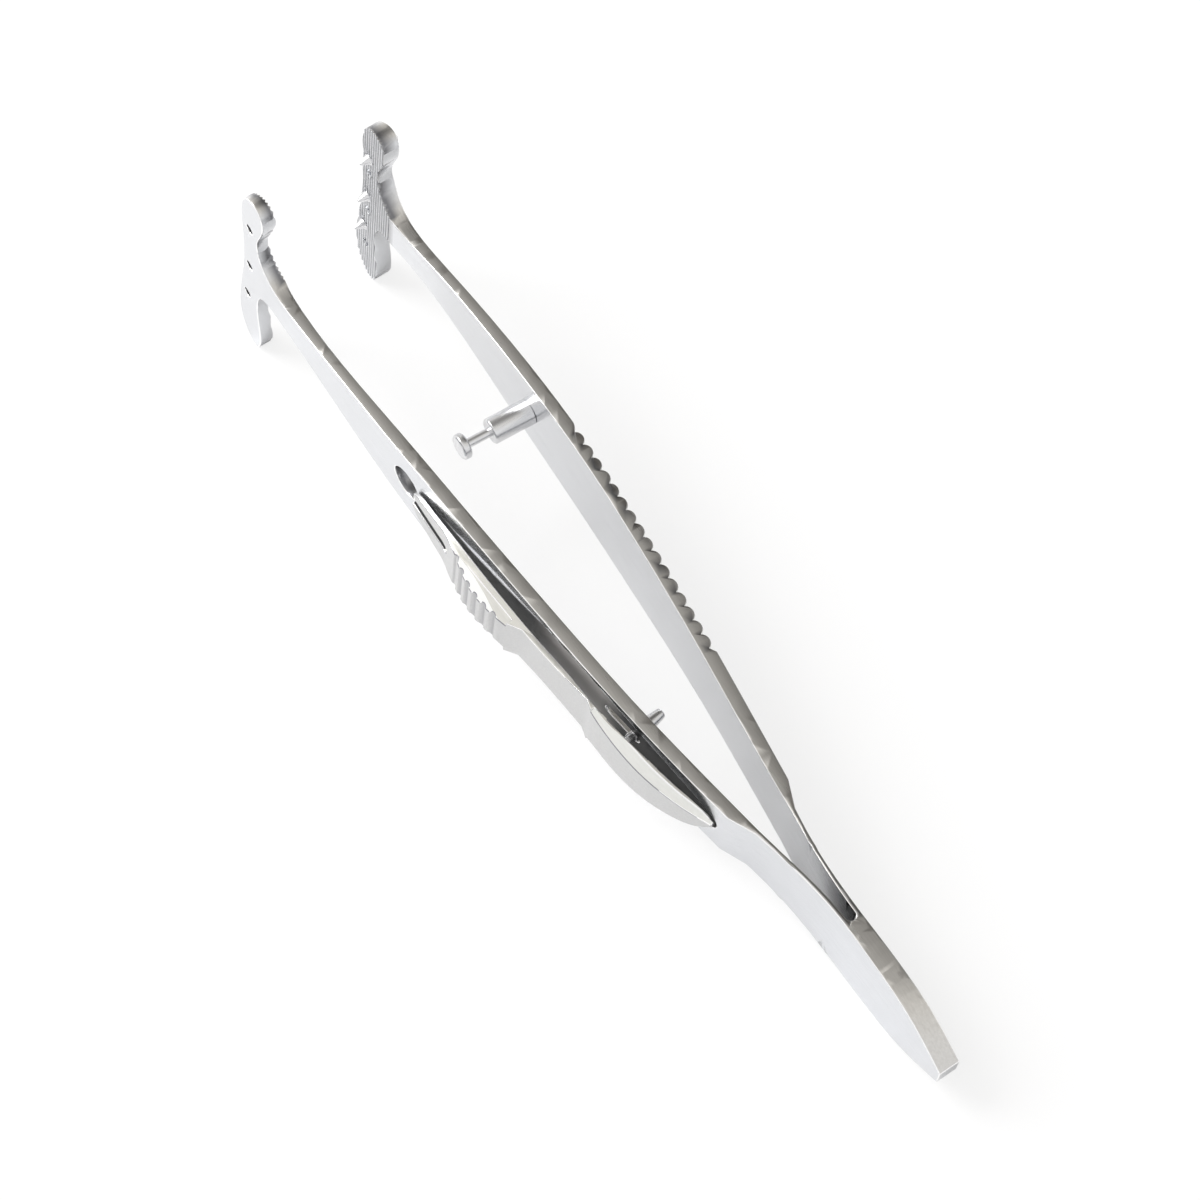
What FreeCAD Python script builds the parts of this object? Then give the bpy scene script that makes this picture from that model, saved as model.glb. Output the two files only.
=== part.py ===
import FreeCAD, Part
import math
import os

# A muscle clamp: two spring arms with ridged cross bar jaws, and a thumb slide that locks them.
# All sizes are in millimetres. X runs from the heel end to the jaws, Y to the left arm, Z up along
# the jaw bars. The origin is the middle of the heel's end. The clamp is drawn open.

V = FreeCAD.Vector
Y_AXIS, Z_AXIS = V(0, 1, 0), V(0, 0, 1)

# Overall length, and where the arms are widest apart
JAW_FRONT_X = 101.6
SWELL_X = 76.4
FORE_SHARE = 0.42          # place of the fore arm's shaping point between the swell and the jaw
FORE_X = SWELL_X + FORE_SHARE * (JAW_FRONT_X - SWELL_X)
OPEN_ANGLE = 4.43          # degrees that each arm closes by

# Heel and spring leaves
HEEL_END_HALF = 1.12       # half thickness of the heel at its end
HEEL_ROOT_HALF = 0.95      # half thickness of the heel where the leaves begin
HEEL_ROOT_X = 14.5
NOTCH_X = 15.4             # centre of the notch's round end
NOTCH_R = 0.50
HINGE_X = 22.5             # middle of the flexing leaf
LEAF_GAP = 0.25            # from the hinge line back to the end of the heel's leaf
LEAF_END_R = 0.17

# Plan of the left arm: outer and inner lines as (x, y)
LEAF_OUTER = ((HEEL_ROOT_X, HEEL_ROOT_HALF), (18.7, 1.10), (20.9, 1.30), (23.1, 1.60), (26.4, 2.20))
LEAF_INNER = ((NOTCH_X, NOTCH_R), (19.0, 0.70), (21.2, 0.95), (23.4, 1.26), (26.4, 1.72))
JAW_ROOT_X = JAW_FRONT_X - 5.4
JAW_INNER_Y = 5.82         # inner face of the bar where the arm meets it
ARM_OUTER = ((29.0, 3.36), (33.5, 4.02), (43.6, 5.34), (54.5, 6.42), (65.5, 7.21), (SWELL_X, 7.55),
             (FORE_X, 7.50), (JAW_FRONT_X - 4.4, 7.42))
ARM_INNER = ((26.4, 1.72), (32.7, 2.55), (43.6, 3.98), (54.5, 5.07), (65.5, 5.87), (SWELL_X, 6.27),
             (FORE_X, 6.42), (JAW_ROOT_X, JAW_INNER_Y))
LEFT_FRONT_OUTER = 7.12    # outer face at the very front of the left bar
RIGHT_BAR_EXTRA = 0.45     # the right bar is that much thicker on its outer side
RIGHT_OUTER_END = ((JAW_FRONT_X - 7.6, 7.44), (JAW_FRONT_X - 3.8, 7.42 + RIGHT_BAR_EXTRA))

# Half width of the heel and the arm as (x, z)
EDGE_LINE = ((0.0, 1.05), (1.6, 2.05), (5.5, 3.95), (10.9, 4.80), (16.4, 4.82), (21.8, 4.28),
             (30.0, 3.84), (38.2, 3.92), (49.1, 4.55), (60.0, 5.05), (68.0, 4.95), (SWELL_X, 4.25),
             (FORE_X, 2.78), (JAW_FRONT_X - 6.6, 1.90))

# Cross bar seen from the side, as (distance behind the front line, z)
BAR_FRONT = ((2.6, -13.90), (0.85, -12.3), (0.15, -8.2), (0.75, -2.0), (0.95, 4.0), (0.62, 9.6),
             (1.35, 12.55), (2.7, 13.43), (3.9, 13.05))
BAR_REAR_TOP = ((4.42, 11.8), (3.85, 8.6), (3.40, 6.4), (4.0, 4.4), (5.2, 2.95), (6.9, 2.20), (9.4, 2.32))
BAR_REAR_BOTTOM = ((9.4, -2.30), (7.0, -2.00), (4.5, -2.30), (3.55, -4.3), (3.75, -9.0), (4.0, -12.3))
BAR_TIP = (3.65, -13.50)
RIDGED_LENGTH = 6.0        # of the bar's inner face, back from its front
RIDGE_PITCH = 0.39
RIDGE_DEPTH = 0.20

# Jaw pins, each bar's own, and the holes that take them. The right bar's pins lie higher.
# Each place is (distance behind the front line, z).
RIGHT_PINS = ((2.0, 7.7), (1.95, 0.6), (1.5, -5.5))
LEFT_PINS = ((2.05, 5.2), (2.05, -1.9), (1.9, -8.6))
PIN_R = 0.46
PIN_TIP_R = 0.12
PIN_LENGTH = 1.0
PIN_SHANK = 0.80
PIN_CLEARANCE = 0.07

# Grip waves on the right arm: round bumps with sharp valleys between them
GRIP_FIRST_X = 43.02
GRIP_PITCH = 1.505
GRIP_VALLEYS = 17
GRIP_DEPTH = 0.42
GRIP_END_SLOPE = 0.60       # length of the slope back to the full face at the rear

# Locking stud on the right arm and its hole in the left arm
STUD_X = 72.95
STUD_LEAN = 3.4            # degrees towards the jaws, nearly square when the arms are closed
COLLAR_R = 1.29
COLLAR_LENGTH = 4.30
COLLAR_CHAMFER = 0.14
NECK_R = 0.46
NECK_LENGTH = 2.50
HEAD_R = 1.28
HEAD_LENGTH = 0.85
HEAD_CHAMFER = 0.16
STUD_SHANK_R = 0.70
STUD_HOLE_SHIFT = 0.20     # of the hole ahead of the stud, as it swings when the arms close
STUD_HOLE_X = STUD_X + STUD_HOLE_SHIFT
STUD_HOLE_R = 1.82

# Slide pin, its slot in the arm and the cap that holds it
SLIDE_TRAVEL = 3.0
SLIDE_PIN_X = 41.05
SLIDE_PIN_LEAN = 7.4       # degrees, square to the arm
SLIDE_PIN_R = 0.50
SLIDE_PIN_DEPTH = 0.55     # how far the pin is pressed into the tail pad
SLOT_CLEARANCE = 0.08
SLOT_OVERRUN = 0.15        # of the slot beyond the pin at both ends of its travel
CAP_GAP = 0.12
CAP_LENGTH = 2.45
CAP_BASE_R = 0.82
CAP_TIP_R = 0.52
CAP_CHAMFER = 0.12

# Lock slide, front part: values against the distance behind the stud's hole
TONGUE_EDGE = ((4.65, 2.55), (2.55, 1.95), (1.75, 1.35))
TONGUE_OUTER = ((6.95, 0.98), (4.15, 0.72), (1.75, 0.50))
PAD_EDGE = ((17.0, 3.10), (12.6, 3.35), (7.75, 3.15))
PAD_OUTER = ((17.6, 2.25), (15.3, 2.52), (12.6, 2.50), (10.3, 1.95), (7.75, 1.15))
FRONT_INNER = ((20.1, 0.95), (11.1, 0.80), (6.1, 0.50), (1.75, 0.12))
FRONT_CHANNEL = ((1.85, 0.90), (3.15, 1.55), (5.75, 2.05), (11.6, 3.35), (17.2, 3.75))
FORK_LENGTH = 5.5
FORK_HALF = 0.56
PAD_BEVEL = 1.15
THUMB_RIDGE_BACK = 16.0    # of the rearmost groove behind the stud's hole
THUMB_RIDGE_PITCH = 1.24
THUMB_RIDGE_COUNT = 6
THUMB_RIDGE_R = 0.42
THUMB_RIDGE_DEPTH = 0.22

# Lock slide, rear part: values against the distance ahead of the slide pin
TAIL_EDGE = ((-10.85, 0.50), (-9.95, 1.50), (-7.55, 2.50), (-3.05, 3.30), (3.25, 3.45))
TAIL_OUTER = ((-10.85, 0.40), (-9.85, 1.0), (-7.05, 1.95), (-3.55, 2.45), (-0.05, 2.35), (3.25, 1.95))
REAR_INNER = ((-10.85, 0.02), (-5.05, 0.38), (2.95, 0.80))
REAR_CHANNEL = ((7.85, 3.95), (0.75, 3.20), (-7.05, 2.0), (-10.05, 1.25))
CHANNEL_END = -11.15
NECK_START = 4.35          # of the thin bar ahead of the pin
NECK_END = 18.9            # of the thin bar behind the stud's hole
NECK_HALF = 2.85           # half width in the middle of the thin bar
NECK_OFFSET = 1.50         # outer face of the thin bar above the arm
TAIL_BEVEL = 1.05
TAIL_BEVEL_LINE = ((-10.85, 0.10), (-9.85, 0.45), (-7.05, 1.15), (-3.55, 1.50), (-0.05, 1.50), (3.25, 1.50))
CHANNEL_DEPTH = 0.45

FAR = 20.0                 # beyond any part of the clamp
PAST = 1.0                 # how far a cutting tool starts outside the face that it cuts
EPS = 0.01


def behind_hole(pairs):
    """Points given by their distance behind the stud's hole, in order of x."""
    return sorted((STUD_HOLE_X - back, value) for back, value in pairs)


def about_pin(pairs):
    """Points given by their distance ahead of the slide pin, in order of x."""
    return sorted((SLIDE_PIN_X + ahead, value) for ahead, value in pairs)


def spline(points):
    """A smooth edge through the points."""
    curve = Part.BSplineCurve()
    curve.interpolate(points)
    return curve.toShape()


def plan(pairs):
    return [V(x, y, 0) for x, y in pairs]


def side(pairs):
    return [V(x, 0, z) for x, z in pairs]


def point_at(pairs, x):
    """Point and direction of the smooth line through the pairs at x, found by halving."""
    curve = Part.BSplineCurve()
    curve.interpolate(plan(pairs))
    low, high = curve.FirstParameter, curve.LastParameter
    while high - low > EPS * EPS:
        mid = (low + high) / 2
        if curve.value(mid).x < x:
            low = mid
        else:
            high = mid
    return curve.value(low), curve.tangent(low)[0]


def y_at(pairs, x):
    return point_at(pairs, x)[0].y


def mirrored(shape):
    """The same shape on the right arm."""
    return shape.mirror(V(0, 0, 0), Y_AXIS)


def slab(edges, axis, depth):
    """A closed outline drawn out to both sides of its plane."""
    face = Part.Face(Part.Wire(Part.__sortEdges__(edges)))
    face.translate(axis * -depth)
    return face.extrude(axis * (2 * depth))


def line(a, b):
    return Part.makeLine(a, b)


def box(x0, x1, y0, y1, z0, z1):
    return Part.makeBox(x1 - x0, y1 - y0, z1 - z0, V(x0, y0, z0))


def cylinder(radius, start, direction, length):
    return Part.makeCylinder(radius, length, start, direction)


def leaned(degrees):
    """A direction in plan, turned from +Y towards +X."""
    angle = math.radians(degrees)
    return V(math.sin(angle), math.cos(angle), 0)


def solid(shape):
    """The shape without seams, as one solid."""
    shape = shape.removeSplitter()
    return max(shape.Solids, key=lambda s: s.Volume)


# Heel and arms

def hinge_point():
    """Middle of the left leaf at the line where it bends, and the leaf's direction there."""
    outer, along = point_at(LEAF_OUTER, HINGE_X)
    inner, inner_along = point_at(LEAF_INNER, HINGE_X)
    return (outer + inner) * 0.5, (along + inner_along).normalize()


def edge_outline():
    """Heel and arm seen from the side, as one slab along Y."""
    top = side(EDGE_LINE)
    low = [V(p.x, 0, -p.z) for p in top]
    ends = [line(low[0], top[0]), line(top[-1], low[-1])]
    return slab([spline(top), spline(low)] + ends, Y_AXIS, FAR)


def bar_points(pairs):
    return [V(JAW_FRONT_X - back, 0, z) for back, z in pairs]


def bar_outline():
    """The cross bar seen from the side, with the fillets that run into the arm."""
    upper = bar_points(BAR_FRONT + BAR_REAR_TOP)
    lower, tip = bar_points(BAR_REAR_BOTTOM), bar_points([BAR_TIP])[0]
    edges = [spline(upper), spline(lower), line(upper[-1], lower[0]), line(lower[-1], tip),
             line(tip, upper[0])]
    return slab(edges, Y_AXIS, FAR)


def beyond_hinge(ahead):
    """All that lies on one side of the left hinge line, square to the leaf."""
    centre, along = hinge_point()
    reach = JAW_FRONT_X + FAR
    half = box(0, reach, -FAR, FAR, -FAR, FAR) if ahead else box(-reach, 0, -FAR, FAR, -FAR, FAR)
    half.rotate(V(0, 0, 0), Z_AXIS, math.degrees(math.atan2(along.y, along.x)))
    half.translate(centre)
    return half


def jaw_face(x):
    """Inner face of the bar in plan. It is parallel to the other bar's when the arms are closed."""
    return JAW_INNER_Y + (x - JAW_ROOT_X) * math.tan(math.radians(OPEN_ANGLE))


def blade_plan(outer, front_outer):
    """Plan of an arm, drawn as the left one, from the leaf's root to the front of the jaw."""
    leaf_out, leaf_in = plan(LEAF_OUTER), plan(LEAF_INNER)
    arm_out, arm_in = plan(outer), plan(ARM_INNER)
    front_in = V(JAW_FRONT_X, jaw_face(JAW_FRONT_X), 0)
    front_out = V(JAW_FRONT_X, front_outer, 0)
    edges = [spline(leaf_out), line(leaf_out[-1], arm_out[0]), spline(arm_out),
             line(arm_out[-1], front_out), line(front_out, front_in), line(front_in, arm_in[-1]),
             spline(arm_in), spline(leaf_in), line(leaf_in[0], leaf_out[0])]
    return slab(edges, Z_AXIS, FAR)


def jaw_ridges():
    """The grooves between the lengthwise ridges of the left bar, as one solid."""
    start = JAW_FRONT_X - RIDGED_LENGTH
    count = int(RIDGED_LENGTH / RIDGE_PITCH) + 1
    inside = jaw_face(start) - PAST
    points = [V(start, inside, 0)]
    for i in range(count):
        x = start + i * RIDGE_PITCH
        points.append(V(x, jaw_face(x) - EPS, 0))
        points.append(V(x + RIDGE_PITCH / 2, jaw_face(x) + RIDGE_DEPTH, 0))
    end = start + count * RIDGE_PITCH
    points += [V(end, jaw_face(end) - EPS, 0), V(end, inside, 0), points[0]]
    face = Part.Face(Part.makePolygon(points))
    face.translate(Z_AXIS * -FAR)
    return face.extrude(Z_AXIS * (2 * FAR))


def jaw_normal():
    """Direction from the left bar's inner face towards the right bar."""
    return leaned(OPEN_ANGLE).multiply(-1).add(V(2 * math.sin(math.radians(OPEN_ANGLE)), 0, 0))


def pin_root(place):
    x = JAW_FRONT_X - place[0]
    return V(x, jaw_face(x) + RIDGE_DEPTH / 2, place[1])


def pin_cavities(own, others):
    """Blind bores for the bar's own pins, and through holes for the other bar's."""
    inward = jaw_normal() * -1
    cavities = []
    for place in own:
        cavities.append(cylinder(PIN_R, pin_root(place) - inward * PAST, inward, PIN_SHANK + PAST))
    for place in others:
        cavities.append(cylinder(PIN_R + PIN_CLEARANCE, pin_root(place) - inward * PAST, inward, FAR))
    return Part.makeCompound(cavities)


def arm_blank(outer, front_outer, own, others):
    """One arm with its leaf and ridged jaw, before its own features, drawn as the left arm."""
    blank = blade_plan(outer, front_outer).common(edge_outline().fuse(bar_outline()))
    blank = blank.common(beyond_hinge(True)).cut(jaw_ridges())
    centre, half = hinge_point()[0], y_at(EDGE_LINE, HINGE_X)
    knuckle = cylinder(LEAF_END_R, V(centre.x, centre.y, -half), Z_AXIS, 2 * half)
    return solid(blank.fuse(knuckle).cut(pin_cavities(own, others)))


def heel():
    """The heel block with the rear halves of both leaves and the round ended notch."""
    outer, inner = plan(LEAF_OUTER), plan(LEAF_INNER)
    outline = [line(V(0, 0, 0), V(0, HEEL_END_HALF, 0)), line(V(0, HEEL_END_HALF, 0), outer[0]),
               spline(outer), line(outer[-1], inner[-1]), spline(inner),
               line(inner[0], V(NOTCH_X, 0, 0)), line(V(NOTCH_X, 0, 0), V(0, 0, 0))]
    stop = beyond_hinge(False)
    stop.translate(V(-LEAF_GAP, 0, 0))
    left = slab(outline, Z_AXIS, FAR).common(stop)
    whole = left.fuse(mirrored(left)).common(edge_outline())
    return solid(whole.cut(cylinder(NOTCH_R, V(NOTCH_X, 0, -FAR), Z_AXIS, 2 * FAR)))


def outer_skin(depth):
    """The layer of the left arm's outer side down to a depth, and all beyond it."""
    low = [V(p.x, p.y - depth, 0) for p in plan(ARM_OUTER)]
    a, b = low[0], low[-1]
    far_a, far_b = V(a.x, FAR, 0), V(b.x, FAR, 0)
    return slab([spline(low), line(b, far_b), line(far_b, far_a), line(far_a, a)], Z_AXIS, FAR)


def channel():
    """The shallow recess in the outer face that the slide runs over."""
    top = side(behind_hole(FRONT_CHANNEL) + about_pin(REAR_CHANNEL))
    top.sort(key=lambda p: p.x)
    low = [V(p.x, 0, -p.z) for p in top]
    round_end = Part.Arc(top[0], V(SLIDE_PIN_X + CHANNEL_END, 0, 0), low[0]).toShape()
    outline = slab([spline(top), spline(low), line(low[-1], top[-1]), round_end], Y_AXIS, FAR)
    return outline.common(outer_skin(CHANNEL_DEPTH))


def pin_slot():
    """The slot of the slide pin, square to the arm."""
    half = SLIDE_PIN_R + SLOT_CLEARANCE
    start, end = SLIDE_PIN_X - SLOT_OVERRUN, SLIDE_PIN_X + SLIDE_TRAVEL + SLOT_OVERRUN
    slot = box(start, end, 0, FAR, -half, half)
    for x in (start, end):
        slot = slot.fuse(cylinder(half, V(x, 0, 0), Y_AXIS, FAR))
    slot.rotate(pin_axis()[0], Z_AXIS, SLIDE_PIN_LEAN)
    return slot


def left_arm():
    """The arm with the channel, the stud's hole and the slot of the slide pin."""
    arm = arm_blank(ARM_OUTER, LEFT_FRONT_OUTER, LEFT_PINS, RIGHT_PINS)
    hole = cylinder(STUD_HOLE_R, V(STUD_HOLE_X, 0, 0), Y_AXIS, FAR)
    return solid(arm.cut(Part.makeCompound([channel(), hole, pin_slot()])))


def grip_waves():
    """What is cut away above the round bumps of the grip, drawn on the left side."""
    def skin(x, depth):
        return V(x, y_at(ARM_OUTER, x) - depth, 0)
    xs = [GRIP_FIRST_X + i * GRIP_PITCH for i in range(GRIP_VALLEYS)]
    edges = []
    for x in xs[:-1]:
        arc = Part.Arc(skin(x, GRIP_DEPTH), skin(x + GRIP_PITCH / 2, 0), skin(x + GRIP_PITCH, GRIP_DEPTH))
        edges.append(arc.toShape())
    last, end = xs[-1], xs[-1] + GRIP_PITCH
    edges.append(Part.Arc(skin(last, GRIP_DEPTH), skin(last + GRIP_PITCH / 3, GRIP_DEPTH / 4),
                          skin(end, 0)).toShape())
    start = xs[0] - GRIP_END_SLOPE
    far_start, far_end = V(start, FAR, 0), V(end, FAR, 0)
    edges += [line(skin(end, 0), far_end), line(far_end, far_start),
              line(far_start, skin(start, 0)), line(skin(start, 0), skin(xs[0], GRIP_DEPTH))]
    return slab(edges, Z_AXIS, FAR)


def stud_base():
    """Where the stud's collar stands on the right arm's inner face."""
    return V(STUD_X, -y_at(ARM_INNER, STUD_X), 0)


def right_outer():
    """Outer line of the right arm, which flares at its thicker bar."""
    return ARM_OUTER[:-1] + RIGHT_OUTER_END


def right_arm():
    """The arm with the grip and the bore of the stud's shank."""
    arm = arm_blank(right_outer(), LEFT_FRONT_OUTER + RIGHT_BAR_EXTRA, RIGHT_PINS, LEFT_PINS)
    arm = mirrored(arm.cut(grip_waves()))
    away = leaned(STUD_LEAN) * -1
    return solid(arm.cut(cylinder(STUD_SHANK_R, stud_base() - away * PAST, away, FAR)))


# Pins and stud

def jaw_pin(place):
    """A conical pin of the left bar with its pressed shank."""
    out, root = jaw_normal(), pin_root(place)
    half_ridge = RIDGE_DEPTH / 2
    shank = cylinder(PIN_R, root - out * PIN_SHANK, out, PIN_SHANK + half_ridge)
    cone = Part.makeCone(PIN_R, PIN_TIP_R, PIN_LENGTH, root + out * half_ridge, out)
    return solid(shank.fuse(cone))


def revolved(profile, base, direction):
    """A turned piece from its (radius, height) outline, set on a base along a direction."""
    points = [V(r, 0, h) for r, h in profile]
    turned = Part.Face(Part.makePolygon(points + [points[0]])).revolve(V(0, 0, 0), Z_AXIS, 360)
    turned.Placement = FreeCAD.Placement(base, FreeCAD.Rotation(Z_AXIS, direction))
    return turned


def locking_stud():
    """Stop collar, neck and round head on a shank that is riveted flush in the right arm."""
    shoulder = COLLAR_LENGTH
    under = shoulder + NECK_LENGTH
    top = under + HEAD_LENGTH
    through = y_at(ARM_OUTER, STUD_X) - y_at(ARM_INNER, STUD_X) + PAST
    profile = ((0, -through), (STUD_SHANK_R, -through), (STUD_SHANK_R, 0), (COLLAR_R, 0),
               (COLLAR_R, shoulder - COLLAR_CHAMFER), (COLLAR_R - COLLAR_CHAMFER, shoulder),
               (NECK_R, shoulder), (NECK_R, under), (HEAD_R - HEAD_CHAMFER, under),
               (HEAD_R, under + HEAD_CHAMFER), (HEAD_R, top - HEAD_CHAMFER),
               (HEAD_R - HEAD_CHAMFER, top), (0, top))
    axis = leaned(STUD_LEAN)
    stud = revolved(profile, stud_base(), axis)
    keep = box(0, JAW_FRONT_X, -y_at(ARM_OUTER, STUD_X), FAR, -FAR, FAR)
    bore = cylinder(STUD_SHANK_R, stud_base() - axis * FAR, axis, 2 * FAR)
    arm = mirrored(blade_plan(right_outer(), LEFT_FRONT_OUTER)).cut(bore)
    return solid(stud.common(keep).cut(arm))


# Lock slide

def offset_line(offsets):
    """Points at the given offsets from the left arm's outer face."""
    return [V(x, y_at(ARM_OUTER, x) + gap, 0) for x, gap in offsets]


def chain(groups):
    """Smooth runs joined by straight steps, as edges."""
    edges = [spline(group) for group in groups]
    edges += [line(a[-1], b[0]) for a, b in zip(groups, groups[1:])]
    return edges


def neck_span():
    return SLIDE_PIN_X + NECK_START, STUD_HOLE_X - NECK_END


def slide_plan():
    """The slide seen from above: tail pad, thin bar, thumb pad and tongue."""
    start, end = neck_span()
    thin = [(start, NECK_OFFSET), ((start + end) / 2, NECK_OFFSET), (end, NECK_OFFSET)]
    inner = offset_line(about_pin(REAR_INNER) + behind_hole(FRONT_INNER))
    groups = [about_pin(TAIL_OUTER), thin, behind_hole(PAD_OUTER), behind_hole(TONGUE_OUTER)]
    runs = [offset_line(g) for g in groups]
    edges = [spline(inner), line(inner[0], runs[0][0]), line(runs[-1][-1], inner[-1])]
    return slab(edges + chain(runs), Z_AXIS, FAR)


def slide_outline():
    """The slide seen from outside: one smooth line round the pads, the thin bar and the tongue."""
    middle = [(sum(neck_span()) / 2, NECK_HALF)]
    top = side(about_pin(TAIL_EDGE) + middle + behind_hole(PAD_EDGE) + behind_hole(TONGUE_EDGE))
    low = [V(p.x, 0, -p.z) for p in top]
    edges = [spline(top), spline(low), line(top[0], low[0]), line(top[-1], low[-1])]
    return slab(edges, Y_AXIS, FAR)


def bevel(stations, size, sign):
    """A wedge that slopes a long edge of a pad. A station is (x, offset, half width)."""
    sections = []
    for x, offset, half in stations:
        y = y_at(ARM_OUTER, x) + offset
        corner = [V(x, y - size, sign * (half + EPS)), V(x, y + EPS, sign * (half - size)),
                  V(x, y + size, sign * (half - size)), V(x, y + size, sign * (half + size))]
        sections.append(Part.makePolygon(corner + [corner[0]]))
    return Part.makeLoft(sections, True)


def slide_bevels():
    """The sloped sides that cut into both crowned pads, and run out where a pad gets low."""
    tail_edge, pad_edge = about_pin(TAIL_EDGE), behind_hole(PAD_EDGE)
    tail_stations = [(x, line_offset + TAIL_BEVEL, y_at(tail_edge, x))
                     for x, line_offset in about_pin(TAIL_BEVEL_LINE)]
    pad_stations = [(x, NECK_OFFSET + PAD_BEVEL, y_at(pad_edge, x)) for x, offset in behind_hole(PAD_OUTER)]
    wedges = []
    for sign in (1, -1):
        wedges.append(bevel(tail_stations, TAIL_BEVEL, sign))
        wedges.append(bevel(pad_stations, PAD_BEVEL, sign))
    return wedges


def thumb_ridges():
    """Round grooves across the thumb pad."""
    grooves = []
    for i in range(THUMB_RIDGE_COUNT):
        x = STUD_HOLE_X - THUMB_RIDGE_BACK + i * THUMB_RIDGE_PITCH
        above = y_at(behind_hole(PAD_OUTER), x) + THUMB_RIDGE_R - THUMB_RIDGE_DEPTH
        grooves.append(cylinder(THUMB_RIDGE_R, V(x, y_at(ARM_OUTER, x) + above, -FAR), Z_AXIS, 2 * FAR))
    return grooves


def fork_slot():
    """The open slot of the tongue that straddles the stud's neck."""
    end = STUD_HOLE_X - TONGUE_EDGE[-1][0] - FORK_LENGTH
    slot = box(end, end + FAR, 0, FAR, -FORK_HALF, FORK_HALF)
    return slot.fuse(cylinder(FORK_HALF, V(end, 0, 0), Y_AXIS, FAR))


def pin_axis():
    """A point on the slide pin's axis at the arm's outer face, and its direction outwards."""
    return V(SLIDE_PIN_X, y_at(ARM_OUTER, SLIDE_PIN_X), 0), leaned(-SLIDE_PIN_LEAN)


def pin_reach():
    """How far the pin goes outwards, into the tail pad."""
    return y_at(about_pin(REAR_INNER), SLIDE_PIN_X) + SLIDE_PIN_DEPTH


def cap_seat():
    """Distance from the arm's outer face in to the broad end of the cap."""
    return y_at(ARM_OUTER, SLIDE_PIN_X) - y_at(ARM_INNER, SLIDE_PIN_X) + CAP_GAP


def lock_slide():
    body = slide_plan().common(slide_outline())
    for tool in slide_bevels() + thumb_ridges() + [fork_slot()]:
        body = body.cut(tool)
    mid, out = pin_axis()
    return solid(body.cut(cylinder(SLIDE_PIN_R, mid, out, pin_reach())))


def slide_pin():
    """The pin from inside the cap, through the slot, into the slide's tail pad."""
    mid, out = pin_axis()
    depth = cap_seat() + CAP_LENGTH / 2
    return cylinder(SLIDE_PIN_R, mid - out * depth, out, depth + pin_reach())


def pin_cap():
    """The tapered cap on the inner end of the slide pin, wider than the slot."""
    mid, out = pin_axis()
    profile = ((0, 0), (CAP_BASE_R, 0), (CAP_TIP_R, CAP_LENGTH - CAP_CHAMFER),
               (CAP_TIP_R - CAP_CHAMFER, CAP_LENGTH), (0, CAP_LENGTH))
    cap = revolved(profile, mid - out * cap_seat(), out * -1)
    return solid(cap.cut(slide_pin()))


def save(name, shape):
    shape.exportStep(os.path.join("parts", name + ".step"))
    print(name, "valid", shape.isValid(), "solids", len(shape.Solids), "volume", round(shape.Volume, 3))


def main():
    os.makedirs("parts", exist_ok=True)
    print("left hinge line at", hinge_point()[0])
    save("heel", heel())
    save("left_arm", left_arm())
    save("right_arm", right_arm())
    for name, place in zip(("top", "middle", "bottom"), LEFT_PINS):
        save("left_jaw_pin_" + name, jaw_pin(place))
    for name, place in zip(("top", "middle", "bottom"), RIGHT_PINS):
        save("right_jaw_pin_" + name, mirrored(jaw_pin(place)))
    save("locking_stud", locking_stud())
    save("lock_slide", lock_slide())
    save("slide_pin", slide_pin())
    save("pin_cap", pin_cap())


main()
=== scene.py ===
import bmesh
import bpy
import math
from mathutils import Matrix, Vector


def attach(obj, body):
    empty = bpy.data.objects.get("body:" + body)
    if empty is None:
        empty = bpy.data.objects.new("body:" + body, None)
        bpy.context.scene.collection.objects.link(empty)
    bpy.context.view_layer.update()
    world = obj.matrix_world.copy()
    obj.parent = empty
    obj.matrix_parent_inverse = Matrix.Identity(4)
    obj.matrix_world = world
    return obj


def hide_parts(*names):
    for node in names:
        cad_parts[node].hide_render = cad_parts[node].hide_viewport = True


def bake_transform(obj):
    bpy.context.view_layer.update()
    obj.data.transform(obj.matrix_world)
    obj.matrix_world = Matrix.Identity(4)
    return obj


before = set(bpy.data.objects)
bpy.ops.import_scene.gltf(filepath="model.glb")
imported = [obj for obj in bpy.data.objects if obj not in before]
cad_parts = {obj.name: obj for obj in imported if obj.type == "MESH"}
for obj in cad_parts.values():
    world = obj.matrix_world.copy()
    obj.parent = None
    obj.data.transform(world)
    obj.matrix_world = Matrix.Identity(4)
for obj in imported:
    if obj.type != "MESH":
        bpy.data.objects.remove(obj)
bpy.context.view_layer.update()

# A muscle clamp in satin stainless steel, lying open on a white studio table.
# The CAD model's axes: X from the heel to the jaws, Y to the left arm, Z up along the jaw bars.

MM = 0.001

# Camera
CAMERA_PLACE = Vector((-60.34, 110.71, 358.54)) * MM
CAMERA_FORWARD = Vector((0.2906, -0.2837, -0.9138)).normalized()
CAMERA_UP = Vector((0.7635, -0.5069, 0.4002))
SENSOR = 36.0
LENS = 3.586 * SENSOR

# The table touches the lower tips of the jaw bars and the lower edge of the heel
JAW_REST = Vector((99.0, 0, -13.93)) * MM
HEEL_REST = Vector((10.9, 0, -4.83)) * MM
TABLE_HALF = 0.9
DARK_SIDE = Vector((0.35, -0.60, 0.72)).normalized()

# Flexing leaves
HINGE_X = 22.5 * MM
HEEL_CUT_X = 16.6 * MM
GAP_BEHIND, GAP_AHEAD = 0.9 * MM, 0.6 * MM
FLEX_START_X, FLEX_END_X = 17.0 * MM, 28.0 * MM
FLEX_STEP, CUT_STEP = 0.5 * MM, 1.0 * MM

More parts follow.
